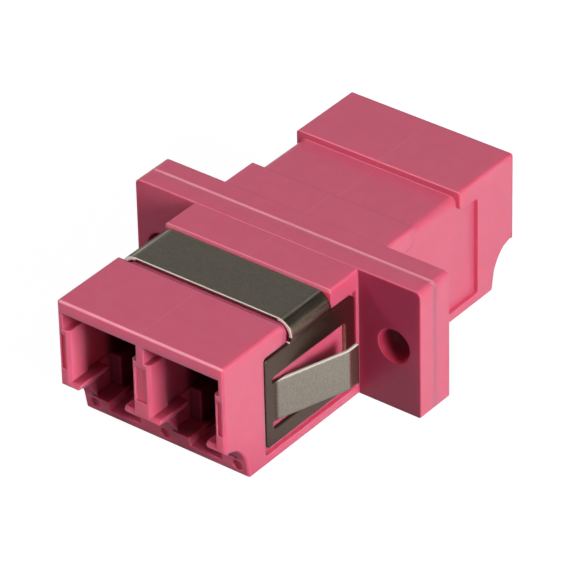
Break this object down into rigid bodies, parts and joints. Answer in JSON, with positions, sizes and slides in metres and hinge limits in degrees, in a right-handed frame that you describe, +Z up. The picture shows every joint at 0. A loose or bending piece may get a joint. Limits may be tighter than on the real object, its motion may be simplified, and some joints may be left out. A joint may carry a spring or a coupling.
{
  "type": "duplex fibre optic adapter",
  "caption": "Flanged coupler with side-by-side square plug ports at each end, a finger cut under each mouth and a folded steel panel clip with sprung side leaves.",
  "frame": {"origin": "middle of the box round the whole adapter: the flange's middle plane, half way across and half way up", "axes": "+Y along the plug ports towards the rear, +Z up away from the plugs' latches, +X across the two ports"},
  "size_m": [0.022, 0.0294, 0.0092],
  "materials": {
    "housing_plastic": "satin moulded pink plastic",
    "holder_plastic": "satin moulded pink plastic",
    "sleeve_ceramic": "ground white zirconia",
    "clip_steel": "rolled spring steel, dull"
  },
  "bodies": {
    "root": {"front_housing": "housing_plastic", "rear_housing": "housing_plastic", "sleeve_holder_front": "holder_plastic", "sleeve_holder_rear": "holder_plastic", "alignment_sleeve_left": "sleeve_ceramic", "alignment_sleeve_right": "sleeve_ceramic", "panel_clip": "clip_steel"}
  },
  "joints": []
}
